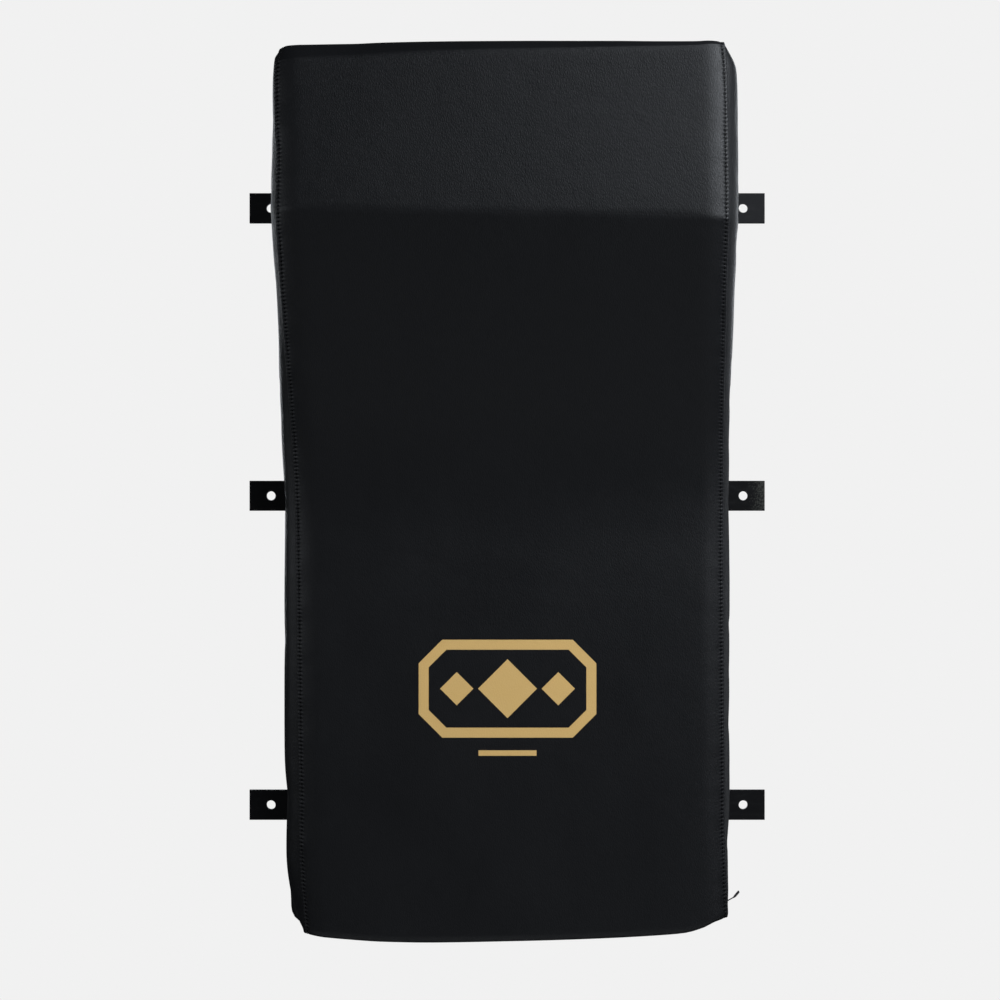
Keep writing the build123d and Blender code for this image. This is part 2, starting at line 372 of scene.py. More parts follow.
# The cloth simulation runs on a coarser grid, and its result is carried over
coarse_rows = np.linspace(margin_rows, row_count - 1 - margin_rows, 165)
coarse_rows = np.unique(np.round(coarse_rows).astype(int))
coarse_us = np.linspace(-LIP, LIP, 58)
coarse = wrap_surface(coarse_us)[coarse_rows]
uneven = wave_noise(coarse.reshape(-1, 3), 60, 3).reshape(*coarse.shape[:2], 1)
coarse += grid_normals(coarse) * 0.25 * uneven
hold = np.full(coarse.shape[:2], 0.12)
hold[[0, -1], :] = 1
hold[:, [0, -1]] = 1
wrap_moved = relaxed("front_wrap_cloth", coarse, hold, 0.8, 0.0, 0.5)
row_places = np.interp(np.arange(row_count), coarse_rows, np.arange(len(coarse_rows)))
col_places = np.interp(columns, coarse_us, np.arange(len(coarse_us)))
wrap = wrap + spread(wrap_moved, row_places, col_places)

normals = grid_normals(wrap)
seam_distance = LIP - np.abs(columns)
# The seam's section, from its edge inwards: a raised lip, then the groove that the thread lies in
LIP_SECTION = (
    (0, -1.5), (0.4, -0.5), (1, -0.05), (1.8, 0.05), (2.6, 0), (3.2, -0.28), (3.7, -0.5), (4.2, -0.56),
    (4.7, -0.5), (5.4, -0.3), (6.5, -0.1), (8, 0),
)
wrap += normals * np.interp(seam_distance, *np.array(LIP_SECTION, float).T)[None, :, None]

left_run, right_run = arc_length(wrap[:, 0]), arc_length(wrap[:, -1])
along = (left_run[:, None] * (columns < 0) + right_run[:, None] * (columns >= 0)).astype(float)
middle_run = arc_length(wrap[:, len(columns) // 2])
pucker_reach = np.exp(-np.clip(seam_distance - 4, 0, None) / 9) * smooth_step(0, 5, seam_distance)


def puckers(run, seed):
    """Small uneven pulls along a seam, about a finger's width apart."""
    here = run[:, None] * np.array([[0, 0, 1.0]])
    return 0.32 * wave_noise(here, 22, seed) + 0.3 * wave_noise(here, 55, seed + 1)


pulls = np.where(columns < 0, puckers(left_run, 11)[:, None], puckers(right_run, 21)[:, None])
wrap += normals * (pulls * pucker_reach)[..., None]

# Folded-under edges: three more columns on each side that tuck in behind the lip
UNDER = ((0.3, -2.4), (1.6, -2.8), (5, -3))


def tucked(edge, normal, inward):
    return [edge + inward * back + normal * down for back, down in UNDER]


LIP_SUNK = 1.5

left_in = wrap[:, 3] - wrap[:, 0]
right_in = wrap[:, -4] - wrap[:, -1]
left_in /= np.linalg.norm(left_in, axis=-1, keepdims=True)
right_in /= np.linalg.norm(right_in, axis=-1, keepdims=True)
left_tuck = tucked(wrap[:, 0] + normals[:, 0] * LIP_SUNK, normals[:, 0], left_in)
right_tuck = tucked(wrap[:, -1] + normals[:, -1] * LIP_SUNK, normals[:, -1], right_in)
full = np.concatenate([np.stack(left_tuck[::-1], 1), wrap, np.stack(right_tuck, 1)], axis=1)
under = np.array([back for back, _ in UNDER])
full_seam = np.concatenate([-under[::-1], seam_distance, -under])
full_across = np.concatenate([columns[0] - under[::-1], columns, columns[-1] + under])
full_along = np.concatenate([along[:, :1]] * 3 + [along] + [along[:, -1:]] * 3, axis=1)
shape = full.shape[:2]
grain = np.stack(
    [np.broadcast_to(full_across, shape), np.broadcast_to(middle_run[:, None], shape), np.zeros(shape)], -1
)
front_wrap = mesh_object(
    "cover_front",
    full.reshape(-1, 3),
    grid_faces(*shape),
    {
        "grain": grain.reshape(-1, 3),
        "seam_distance": np.broadcast_to(full_seam, shape).ravel(),
        "seam_run": full_along.ravel(),
    },
)

# ------------------------ side panels
# How far each side panel fills out behind its seam, up the pad
FILL_SIZE = {
    -1: (
        (-496, 31), (-400, 27.5), (-350, 26), (-290, 31), (-200, 29.5), (-100, 28), (0, 25.5), (50, 27),
        (147, 29.5), (250, 27.5), (318, 27.5), (350, 27), (400, 20.5), (440, 15.5), (480, 10.5),
    ),
    1: (
        (-496, 7), (-440, 8), (-400, 11.5), (-350, 17.5), (-290, 19.5), (-200, 20.5), (-71, 23.5), (0, 21.5),
        (100, 21.5), (147, 22), (195, 23), (242, 23), (340, 24.5), (400, 25.5), (480, 26),
    ),
}
# Distance from the seam over which it fills, below and above, and the heights of that change
FILL_REACH = {-1: (18, 60), 1: (30, 25)}
FILL_CHANGE = {-1: (20, 250), 1: (110, 290)}
# How far from its top and bottom ends a side panel is pulled flat
TOP_TAPER = {-1: 14.0, 1: 22.0}
BOTTOM_TAPER = {-1: 85.0, 1: 40.0}


def resampled(points, count):
    run = arc_length(points)
    at = np.linspace(0, run[-1], count)
    return np.stack([np.interp(at, run, points[:, k]) for k in range(3)], axis=1)


def gusset_surface(side, rows, cols):
    """One side panel's smooth shape: rows from bottom to top and columns from seam to wall."""
    column = 0 if side < 0 else -1
    lip = smooth_wrap[:, column] - smooth_normals[:, column] * 2.3
    lip = lip[body_rows]
    top_turn = STRAIGHT_ROWS[1] + ARC_ROWS[1] + STRAIGHT_ROWS[2] // 2
    bottom_turn = len(lip) - 1 - STRAIGHT_ROWS[6] - ARC_ROWS[5] // 2
    top = resampled(lip[: top_turn + 1][::-1], cols)
    front = resampled(lip[top_turn : bottom_turn + 1][::-1], rows)
    bottom = resampled(lip[bottom_turn:], cols)
    height = np.linspace(bottom[-1, 2], top[-1, 2], rows)
    fall = np.abs(height - MIDDLE) - (PAD_TOP - MIDDLE - CORNER)
    fall = CORNER - np.sqrt(CORNER**2 - np.clip(fall, 0, CORNER * 0.97) ** 2)
    back = to_frame(side * (SIDE - fall), np.full(rows, MARGIN_DEPTH), height)
    back[0], back[-1] = bottom[-1], top[-1]
    w = np.linspace(0, 1, rows)[:, None, None]
    v = np.linspace(0, 1, cols)[None, :, None]
    front, back, bottom, top = front[:, None], back[:, None], bottom[None], top[None]
    sides = (1 - v) * front + v * back
    ends = (1 - w) * bottom + w * top
    bottom_line = (1 - v) * bottom[:, :1] + v * bottom[:, -1:]
    top_line = (1 - v) * top[:, :1] + v * top[:, -1:]
    grid = sides + ends - (1 - w) * bottom_line - w * top_line
    from_seam = np.linalg.norm((grid - grid[:, :1])[..., 1:], axis=-1)
    from_top = np.abs(grid[..., 2] - grid[-1:, :, 2])
    from_bottom = np.abs(grid[..., 2] - grid[:1, :, 2])
    upper = smooth_step(*FILL_CHANGE[side], grid[..., 2])
    reach = FILL_REACH[side][0] * (1 - upper) + FILL_REACH[side][1] * upper
    size = curve(grid[..., 2], FILL_SIZE[side])
    top_taper = 1 - (1 - np.clip(from_top / TOP_TAPER[side], 0, 1)) ** 2
    bottom_taper = 1 - (1 - np.clip(from_bottom / BOTTOM_TAPER[side], 0, 1)) ** 2
    bulge = size * from_seam / (from_seam + reach) * (1 - v[..., 0]) * top_taper * bottom_taper
    grid[..., 0] += side * bulge
    return grid


smooth_wrap = wrap_surface(columns)
smooth_normals = grid_normals(smooth_wrap)


def make_gusset(side, seed):
    name = "left" if side < 0 else "right"
    rows, cols = 190, 40
    grid = gusset_surface(side, rows, cols)
    kept_rows = np.r_[0 : rows - 1 : 2, rows - 1]
    kept_cols = np.r_[0 : cols - 1 : 2, cols - 1]
    loose = grid[kept_rows][:, kept_cols]
    outward = np.array([side, 0, 0])
    uneven = wave_noise(loose.reshape(-1, 3), 70, seed).reshape(*loose.shape[:2], 1)
    loose = loose + outward * 0.3 * uneven
    hold = np.full(loose.shape[:2], 0.05)
    hold[[0, -1], :] = 1
    hold[:, [0, -1]] = 1
    moved = relaxed(f"{name}_gusset_cloth", loose, hold, 0.8, 0.002, 0.8, flip=side > 0)
    row_at = np.interp(np.arange(rows), kept_rows, np.arange(len(kept_rows)))
    col_at = np.interp(np.arange(cols), kept_cols, np.arange(len(kept_cols)))
    grid = grid + spread(moved, row_at, col_at)
    from_seam = np.linalg.norm(grid - grid[:, :1], axis=-1)
    run = arc_length(grid[:, 0])
    pull_reach = np.exp(-from_seam / 12) * smooth_step(0, 6, from_seam)
    grid += outward * (0.8 * puckers(run, seed + 5)[:, None] * pull_reach)[..., None]
    grid = clear_of_board(grid, GUSSET_CLEARANCE)
    # The margin turned in over the back of the board
    edge = grid[:, -1]
    turned = []
    for inward, depth in ((-0.2, 4.9), (1, 4.75), (4, 4.72), (15, 4.72), (30, 4.72), (MARGIN, 4.72)):
        strip = edge.copy()
        strip[:, 0] -= side * inward
        strip[:, 1] = -depth
        turned.append(strip)
    grid = np.concatenate([grid, np.stack(turned, 1)], axis=1)
    shape = grid.shape[:2]
    distance = np.concatenate([from_seam, np.full((rows, len(turned)), 200.0)], axis=1)
    return mesh_object(
        f"cover_{name}_side",
        grid.reshape(-1, 3),
        grid_faces(*shape, flip=side > 0),
        {
            "grain": np.stack([grid[..., 1], grid[..., 2], np.zeros(shape)], -1).reshape(-1, 3),
            "seam_distance": distance.ravel() + 20,
            "seam_run": np.broadcast_to(run[:, None], shape).ravel(),
        },
    )


left_side = make_gusset(-1, 31)
right_side = make_gusset(1, 41)

# ------------------------ stitches
STITCH_LENGTH = 2.3
THREAD_RADIUS = 0.42
THREAD_ARCH = 0.38
THREAD_SUNK = 0.12
SLANT = 0.10
# Each needle hole's shade is painted on a shallow dark dish standing just off the panel, a painted shade:
# its half sizes along and across the seam, rim and middle
HOLE_ALONG = 0.82
HOLE_ASIDE = 0.95
HOLE_RIM = 0.3
HOLE_MIDDLE = 0.12
RINGS = np.linspace(-1, 1, 9)
AROUND = np.linspace(0, 2 * math.pi, 6, endpoint=False)


def loft_faces(rings, count):
    """Faces of a closed loft through that many rings of count points each."""
    faces = []
    for k in range(rings - 1):
        for a in range(count):
            here, after = k * count + a, k * count + (a + 1) % count
            faces.append((here, after, after + count, here + count))
    return faces + [tuple(range(count))[::-1], tuple(range((rings - 1) * count, rings * count))]


def tube(centres, radii, up, side):
    """A closed tube along centres, as points and faces."""
    ring = [
        centre + radius * (np.cos(AROUND)[:, None] * side + np.sin(AROUND)[:, None] * up)
        for centre, radius in zip(centres, radii, strict=True)
    ]
    return np.vstack(ring), loft_faces(len(ring), len(AROUND))


def make_stitches(side):
    """One seam's thread and the painted shade of its needle holes, and on the right the thread's loose tail.
    """
    name = "left" if side < 0 else "right"
    edge = int(np.argmin(np.abs(seam_distance - SEAM_INSET) + 1e3 * (np.sign(columns) != side)))
    line, line_normals = wrap[:, edge], normals[:, edge]
    keep = np.flatnonzero(-line[:, 1] > FIRST_STITCH_DEPTH)
    line, line_normals = line[keep[0] : keep[-1] + 1], line_normals[keep[0] : keep[-1] + 1]
    run = arc_length(line)
    count = int(run[-1] / PITCH)
    points, faces, slots, total = [], [], [], 0

    def at(place):
        here = np.array([np.interp(place, run, line[:, k]) for k in range(3)])
        up = np.array([np.interp(place, run, line_normals[:, k]) for k in range(3)])
        return here, up / np.linalg.norm(up)

    def add(part_points, part_faces, slot):
        nonlocal total
        points.append(part_points)
        faces.extend([tuple(total + i for i in f) for f in part_faces])
        slots.extend([slot] * len(part_faces))
        total += len(part_points)

    for number in range(count):
        middle = (number + 0.5) * PITCH + rng.normal(0, 0.08)
        here, up = at(middle)
        ahead = at(middle + 0.5)[0] - at(middle - 0.5)[0]
        ahead /= np.linalg.norm(ahead)
        aside = np.cross(up, ahead)
        heading = ahead + aside * (SLANT + rng.normal(0, 0.04))
        length = STITCH_LENGTH * rng.uniform(0.94, 1.05)
        centres = []
        for t in RINGS:
            lift = THREAD_ARCH * (1 - abs(t) ** 3) - THREAD_SUNK + 0.02 * rng.normal()
            centres.append(here + heading * t * length / 2 + up * lift)
        radii = THREAD_RADIUS * (1 - 0.35 * np.abs(RINGS) ** 4)
        add(*tube(centres, radii, up, aside), 0)
        # Between stitches a dark dish stands in for the shadow in the needle hole: a painted shade
        hole_shade, hole_up = at(middle + PITCH / 2)
        rim = [
            hole_shade + hole_up * HOLE_RIM + ahead * HOLE_ALONG * math.cos(a) + aside * HOLE_ASIDE * math.sin(a)
            for a in AROUND
        ]
        dish = [(a, (a + 1) % 6, 6) for a in range(6)]
        add(np.vstack([rim, [hole_shade + hole_up * HOLE_MIDDLE]]), dish, 1)
    if side > 0:
        # The tail thickens where its strands fray and thins again at the tip
        steps = np.linspace(0, len(THREAD_TAIL) - 1, 30)
        path = np.stack([curve(steps, list(enumerate(k))) for k in zip(*THREAD_TAIL, strict=True)], 1)
        girth = 0.6 + 0.85 * smooth_step(2.7, 3.5, steps) - 0.5 * smooth_step(4.6, 5, steps)
        add(*tube(path, girth, np.array([0, 1, 0]), np.array([-0.5, 0, 0.86])), 0)
    made = mesh_object(f"seam_thread_{name}", np.vstack(points), faces)
    made.data.polygons.foreach_set("material_index", slots)
    return made


left_thread = make_stitches(-1)
right_thread = make_stitches(1)

# ------------------------ printed motif
PRINT_TOP = print_high.z
PRINT_HALF = print_high.x
FRAME_HEIGHT = 108.0
FRAME_CHAMFER = 26.0
FRAME_WIDTH = 11.0
LOZENGES = ((-56, 26), (0, 46), (56, 26))
UNDERLINE = (64.0, 6.0)
INK_LIFT = 0.12
INK_THICKNESS = 0.15
PRINT_MIDDLE = PRINT_TOP - FRAME_HEIGHT / 2
UNDERLINE_MIDDLE = print_low.z + UNDERLINE[1] / 2

wrap_tree = BVHTree.FromPolygons(
    [v.co.copy() for v in front_wrap.data.vertices],
    [tuple(f.vertices) for f in front_wrap.data.polygons],
)


def octagon(half_wide, half_tall, chamfer):
    x, z, c = half_wide, half_tall, chamfer
    upper = [(x, z - c), (x - c, z), (c - x, z), (-x, z - c)]
    return upper + [(-a, -b) for a, b in upper]


def patch(corners, pitch=2.0):
    """A flat quad, by its four corners in order, as a fine grid of points and faces."""
    a, b, c, d = (np.array(p, float) for p in corners)
    long = max(2, int(np.linalg.norm(b - a) / pitch) + 1)
    wide = max(2, int(np.linalg.norm(d - a) / pitch) + 1)
    s, t = np.linspace(0, 1, long)[:, None, None], np.linspace(0, 1, wide)[None, :, None]
    points = (a * (1 - s) + b * s) * (1 - t) + (d * (1 - s) + c * s) * t
    return points.reshape(-1, 2), grid_faces(long, wide)


def make_print():
    """The motif's frame, lozenges and underline, laid on the front panel."""
    outer = octagon(PRINT_HALF, FRAME_HEIGHT / 2, FRAME_CHAMFER)
    inner_chamfer = FRAME_CHAMFER - FRAME_WIDTH * (2 - math.sqrt(2))
    inner = octagon(PRINT_HALF - FRAME_WIDTH, FRAME_HEIGHT / 2 - FRAME_WIDTH, inner_chamfer)
    quads = [[outer[k], outer[(k + 1) % 8], inner[(k + 1) % 8], inner[k]] for k in range(8)]
    for x, edge in LOZENGES:
        h = edge / math.sqrt(2)
        quads.append([(x + h, 0), (x, h), (x - h, 0), (x, -h)])
    w, h = UNDERLINE[0] / 2, UNDERLINE[1] / 2
    drop = UNDERLINE_MIDDLE - PRINT_MIDDLE
    quads.append([(w, drop - h), (w, drop + h), (-w, drop + h), (-w, drop - h)])
    points, faces, total = [], [], 0
    for quad in quads:
        part, part_faces = patch(quad)
        points.append(part)
        faces += [tuple(total + i for i in f) for f in part_faces]
        total += len(part)
    flat = np.vstack(points)
    placed = []
    for x, z in flat:
        start = Vector((x, -300, z + PRINT_MIDDLE)) / 1000
        hit = wrap_tree.ray_cast(start, Vector((0, 1, 0)))[0]
        placed.append(np.array(hit) * 1000 + np.array((0, -INK_LIFT, 0)))
    grain = np.c_[flat[:, 0], 700 - flat[:, 1], 0 * flat[:, 0]]
    made = mesh_object("front_motif", placed, faces, {"grain": grain})
    made.data.polygons.foreach_set("use_smooth", [False] * len(made.data.polygons))
    weld = made.modifiers.new("weld", "WELD")
    weld.merge_threshold = 0.00005
    thick = made.modifiers.new("thickness", "SOLIDIFY")
    thick.thickness = INK_THICKNESS / 1000
    thick.offset = -1
    return made


front_motif = make_print()

# ------------------------ rear dust cloth
CLOTH_DEPTH = 4.2
CLOTH_EDGE_DEPTH = 4.3
CLOTH_DEEPEST = 4.45


def make_dust_cloth():
    """The rear cloth, tight at its staples and under the bars and slack between them."""
    cols, rows = 72, 146
    xs = np.linspace(cloth_low.x, cloth_high.x, cols)
    zs = np.linspace(cloth_low.z, cloth_high.z, rows)
    x, z = np.meshgrid(xs, zs)
    staples = np.array([v.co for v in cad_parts["rear_staples"].data.vertices]) * 1000
    near_staple = np.full(x.shape, 1e9)
    for sx, sz in {(round(p[0] / 8) * 8, round(p[2] / 8) * 8) for p in staples}:
        near_staple = np.minimum(near_staple, np.hypot(x - sx, z - sz))
    bars = [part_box(n) for n in ("top_bar", "middle_bar", "bottom_bar")]
    from_bars = [np.maximum(low.z * 1000 - z, z - high.z * 1000) for low, high in bars]
    bar_gap = np.maximum(np.min(from_bars, axis=0), 0)
    free = smooth_step(3, 26, near_staple) * smooth_step(1, 30, bar_gap)
    grid = to_frame(x, np.full(x.shape, CLOTH_DEPTH), z)
    points = grid.reshape(-1, 3)
    lift = (wave_noise(points, 120, 61) + 0.5 * wave_noise(points, 45, 62)).reshape(x.shape)
    grid[..., 1] += 0.35 * free * lift
    hold = np.where(free < 0.15, 1.0, 0.03)
    moved = relaxed("dust_cloth_sim", grid, hold, 0.4, 0.006, 2.2, flip=True)
    grid += moved * (free > 0)[..., None]
    grid[..., 1] = np.maximum(grid[..., 1], -CLOTH_DEEPEST)
    from_sides = np.minimum(x - cloth_low.x, cloth_high.x - x)
    from_ends = np.minimum(z - cloth_low.z, cloth_high.z - z)
    edge = smooth_step(0, 4, np.minimum(from_sides, from_ends))
    loose = np.clip(edge + 0.2, 0, 1)
    grid[..., 1] = (grid[..., 1] + CLOTH_EDGE_DEPTH) * loose - CLOTH_EDGE_DEPTH
    grain = np.stack([x, z, 0 * x], -1).reshape(-1, 3)
    faces = grid_faces(rows, cols, flip=True)
    return mesh_object("rear_dust_cloth", grid.reshape(-1, 3), faces, {"grain": grain})


dust_cloth = make_dust_cloth()

# ------------------------ foam inside the cover
def foam_block(name, loop_of):
    """A closed loft across the pad of the side-view loop that loop_of gives for each station."""
    us = np.concatenate([np.linspace(-226, -200, 6), np.linspace(-180, 180, 17), np.linspace(200, 226, 6)])
    loops = []
    for u in us:
        loop = np.array(loop_of(u), float)
        across = lean(loop[:, 0], loop[:, 1]) + u
        loops.append(to_frame(across, loop[:, 0], loop[:, 1]))
    made = mesh_object(name, np.vstack(loops), loft_faces(len(loops), len(loops[0])))
    made.data.polygons.foreach_set("use_smooth", [False] * len(made.data.polygons))
    return made


BOARD_FRONT = -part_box("base_foam")[1].y * 1000 + 0.2
BASE_FRONT = -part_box("base_foam")[0].y * 1000
# Thickness of the strike layer, and the gap between the foam and the cover's outside
SKIN = 30.0
GAP = 4.0


def strike_loop(u):
    first = margin_rows + STRAIGHT_ROWS[1] - 6
    outer = station(u, GAP)[first : row_count - margin_rows - STRAIGHT_ROWS[6] : 2]
    base = BASE_FRONT + 0.6
    outer[:, 0] = np.maximum(outer[:, 0], base)
    drop = edge_drop(u)
    inner = [
        (base, outer[-1, 1] + 1),
        (base, VALLEY),
        (NOSE - drop - SKIN, curve(u, RIDGE)),
        (TOP_DEPTH - drop - SKIN, outer[0, 1] - 1),
    ]
    return np.vstack([outer, inner])


def nose_loop(u):
    drop, top = edge_drop(u), PAD_TOP + curve(u, TOP_EDGE) - GAP - 2
    inset = drop + SKIN + 1
    base = BASE_FRONT + 1
    return [(base, top), (TOP_DEPTH - inset, top), (NOSE - inset, curve(u, RIDGE)), (base, VALLEY + 4)]


def base_loop(u):
    fall = corner_fall(u * REAR_HALF / LIP)
    top = PAD_TOP - 7 - fall
    bottom = PAD_BOTTOM + 5 + max(0.0, float(curve(u, BOTTOM_EDGE))) + fall
    return [(BOARD_FRONT, top), (BASE_FRONT, top), (BASE_FRONT, bottom), (BOARD_FRONT, bottom)]


strike_foam = foam_block("foam_strike_layer", strike_loop)
nose_foam = foam_block("foam_nose_block", nose_loop)
base_foam = foam_block("foam_base", base_loop)


# ------------------------ materials
class Look:
    """A Principled material with short calls for the nodes that drive it."""

    def __init__(self, name, **values):
        self.material = bpy.data.materials.new(name)
        self.material.use_nodes = True
        self.tree = self.material.node_tree
        self.shader = self.tree.nodes["Principled BSDF"]
        for key, value in values.items():
            self.shader.inputs[key.replace("_", " ")].default_value = value

    def node(self, kind, links=None, **values):
        made = self.tree.nodes.new(kind)
        for key, value in values.items():
            if hasattr(made, key):
                setattr(made, key, value)
            else:
                made.inputs[key].default_value = value
        for key, source in (links or {}).items():
            self.tree.links.new(source, made.inputs[key])
        return made

    def math(self, operation, first, second=None, third=None, clamp=False):
        made = self.node("ShaderNodeMath", operation=operation, use_clamp=clamp)
        for index, value in enumerate((first, second, third)):
            if value is None:
                continue
            if isinstance(value, (int, float)):
                made.inputs[index].default_value = value
            else:
                self.tree.links.new(value, made.inputs[index])
        return made.outputs[0]

    def place(self, attribute=None, scale=(1, 1, 1)):
        """Coordinates, either the object's own or a stored attribute, scaled."""
        if attribute:
            source = self.node("ShaderNodeAttribute", attribute_name=attribute).outputs["Vector"]
        else:
            source = self.node("ShaderNodeTexCoord").outputs["Object"]
        return self.node("ShaderNodeMapping", {"Vector": source}, Scale=scale).outputs[0]

    def value(self, attribute):
        return self.node("ShaderNodeAttribute", attribute_name=attribute).outputs["Fac"]

    def noise(self, place, scale, detail=3.0, roughness=0.5, distortion=0.0):
        values = {"Scale": scale, "Detail": detail, "Roughness": roughness, "Distortion": distortion}
        return self.node("ShaderNodeTexNoise", {"Vector": place}, **values).outputs["Fac"]

    def cells(self, place, scale, feature="F1", randomness=1.0):
        values = {"feature": feature, "Scale": scale, "Randomness": randomness}
        return self.node("ShaderNodeTexVoronoi", {"Vector": place}, **values).outputs["Distance"]

    def span(self, source, low, high, to_low, to_high):
        """The source's range low to high carried over to to_low to to_high."""
        values = {"From Min": low, "From Max": high, "To Min": to_low, "To Max": to_high}
        return self.node("ShaderNodeMapRange", {"Value": source}, **values).outputs[0]

    def blend(self, factor, first, second):
        made = self.node("ShaderNodeMix", data_type="RGBA")
        sockets = [s for s in made.inputs if s.type == "RGBA"]
        self.tree.links.new(factor, made.inputs[0])
        for socket, colour in zip(sockets, (first, second), strict=True):
            if isinstance(colour, tuple):
                socket.default_value = (*colour, 1)
            else:
                self.tree.links.new(colour, socket)
        return next(s for s in made.outputs if s.type == "RGBA")

    def bump(self, height, distance, strength=1.0, under=None):
        made = self.node("ShaderNodeBump", {"Height": height}, Strength=strength, Distance=distance)
        if under is not None:
            self.tree.links.new(under, made.inputs["Normal"])
        return made.outputs[0]

    def drive(self, **sources):
        for key, source in sources.items():
            self.tree.links.new(source, self.shader.inputs[key.replace("_", " ")])
        return self

    def wear(self, *objects):
        for o in objects:
            o.data.materials.clear()
            o.data.materials.append(self.material)


def leather_grain(look, strength=1.0):
    """Fine pebbled grain, drawn out along the length of the panel, over slow undulation."""
    fine = look.place("grain", (1, 0.42, 1))
    warped = look.node("ShaderNodeVectorMath", operation="ADD")
    wobble = look.node("ShaderNodeTexNoise", {"Vector": fine}, Scale=0.5, Detail=2.0)
    look.tree.links.new(fine, warped.inputs[0])
    look.tree.links.new(wobble.outputs["Color"], warped.inputs[1])
    cells = look.cells(warped.outputs[0], 0.85)
    creases = look.cells(warped.outputs[0], 0.55, feature="DISTANCE_TO_EDGE")
    streaks = look.noise(look.place("grain", (1, 0.2, 1)), 0.9, 4.0, 0.6)
    height = look.math("ADD", look.span(creases, 0, 0.22, 0, 1), look.math("MULTIPLY", cells, -0.6))
    height = look.math("ADD", height, look.math("MULTIPLY", streaks, 0.9))
    return look.bump(height, 0.00011, strength), height


def make_leather():
    look = Look("black_leatherette", Roughness=0.5, Specular_IOR_Level=0.17)
    grain, height = leather_grain(look, 0.75)
    # The seam pulls the panel in at each needle hole
    run = look.math("MULTIPLY", look.value("seam_run"), 2 * math.pi / PITCH)
    distance = look.value("seam_distance")
    hug = look.math("SUBTRACT", distance, SEAM_INSET)
    hug = look.math("MULTIPLY", hug, look.math("MULTIPLY", hug, -0.16))
    hug = look.math("EXPONENT", hug)
    ripple = look.math("MULTIPLY", look.math("COSINE", run), hug)
    seam = look.bump(ripple, 0.0003, 0.8, grain)
    slow = look.noise(look.place("grain"), 0.03, 3.0, 0.55)
    handled = look.noise(look.place("grain", (1, 0.6, 1)), 0.011, 4.0, 0.6)
    soft = look.bump(slow, 0.0014, 0.35, seam)
    tone = look.span(handled, 0.3, 0.7, 0, 1)
    colour = look.blend(tone, (0.0018, 0.0020, 0.0026), (0.0024, 0.0026, 0.0033))
    pores = look.span(height, -0.2, 1.1, 0, 1)
    colour = look.blend(pores, (0.0014, 0.0015, 0.0020), colour)
    rough = look.span(handled, 0.3, 0.7, 0.46, 0.53)
    rough = look.math("ADD", rough, look.span(height, 0, 1.2, 0.04, -0.03))
    look.drive(Base_Color=colour, Roughness=rough, Normal=soft)
    return look


def make_thread():
    look = Look("seam_thread", Roughness=0.6, Specular_IOR_Level=0.25)
    place = look.place()
    twist = look.node("ShaderNodeTexWave", {"Vector": place}, Scale=900.0, Distortion=2.0, Detail=1.0)
    fuzz = look.noise(place, 4000, 2.0)
    look.drive(
        Base_Color=look.blend(fuzz, (0.003, 0.003, 0.0033), (0.009, 0.009, 0.010)),
        Normal=look.bump(twist.outputs["Fac"], 0.0001, 0.7),
    )
    return look


def make_hole_shade():
    # Near black and without any reflection, with a little mottle: a painted shade for the needle holes
    look = Look("needle_hole_painted_shade", Roughness=1.0, Specular_IOR_Level=0.0)
    hole_shade_mottle = look.noise(look.place(), 3000)
    look.drive(Base_Color=look.blend(hole_shade_mottle, (0.0004, 0.0004, 0.0005), (0.001, 0.001, 0.0011)))
    return look


def make_gold():
    look = Look("gold_ink", Roughness=0.55, Specular_IOR_Level=0.35)
    grain, _ = leather_grain(look, 0.35)
    mottle = look.noise(look.place("grain"), 1.4, 3.0, 0.7)
    slow = look.noise(look.place("grain"), 0.06, 2.0)
    colour = look.blend(look.span(mottle, 0.3, 0.7, 0, 1), (0.414, 0.265, 0.087), (0.544, 0.353, 0.131))
    colour = look.blend(look.span(slow, 0.35, 0.65, 0, 0.35), colour, (0.474, 0.302, 0.1))
    look.drive(
        Base_Color=colour,
        Roughness=look.span(mottle, 0.3, 0.7, 0.48, 0.62),
        Normal=look.bump(mottle, 0.00005, 0.5, grain),
    )
    return look


def make_paint(name, dark, light, chipped=False):
    look = Look(name, Roughness=0.55, Specular_IOR_Level=0.06)
    place = look.place()
    peel = look.noise(place, 420, 3.0)
    scuffs = look.noise(look.place(scale=(6, 120, 40)), 4.0, 5.0, 0.7)
    worn = look.span(scuffs, 0.55, 0.75, 0, 1)
    colour = look.blend(worn, (dark, dark, dark * 1.1), (light, light, light * 1.04))
    rough = look.span(scuffs, 0.4, 0.7, 0.5, 0.66)
    normal = look.bump(peel, 0.00012, 0.35)
    look.drive(Base_Color=colour, Roughness=rough, Normal=normal)
    if chipped:
        across = look.node("ShaderNodeSeparateXYZ", {"Vector": place}).outputs[0]
        near_end = look.span(across, 0.272, 0.2995, 0.55, 1)
        flakes = look.noise(place, 520, 3.0, 0.65, 0.6)
        mask = look.math("MULTIPLY", near_end, flakes)
        mask = look.span(mask, 0.42, 0.52, 0, 1)
        look.drive(
            Base_Color=look.blend(mask, colour, (0.035, 0.036, 0.032)),
            Metallic=look.math("MULTIPLY", mask, 0.3),
            Normal=look.bump(mask, 0.0002, -0.8, normal),
        )
    return look


def make_zinc():
    look = Look("zinc_plate", Roughness=0.3, Metallic=1.0)
    place = look.place()
    grime = look.noise(place, 220, 4.0, 0.6)
    turned = look.noise(place, 1800, 2.0)
    look.drive(
        Base_Color=look.blend(grime, (0.42, 0.41, 0.37), (0.70, 0.71, 0.72)),
        Roughness=look.span(grime, 0.35, 0.65, 0.26, 0.45),
        Normal=look.bump(turned, 0.00004, 0.4),
    )
    return look


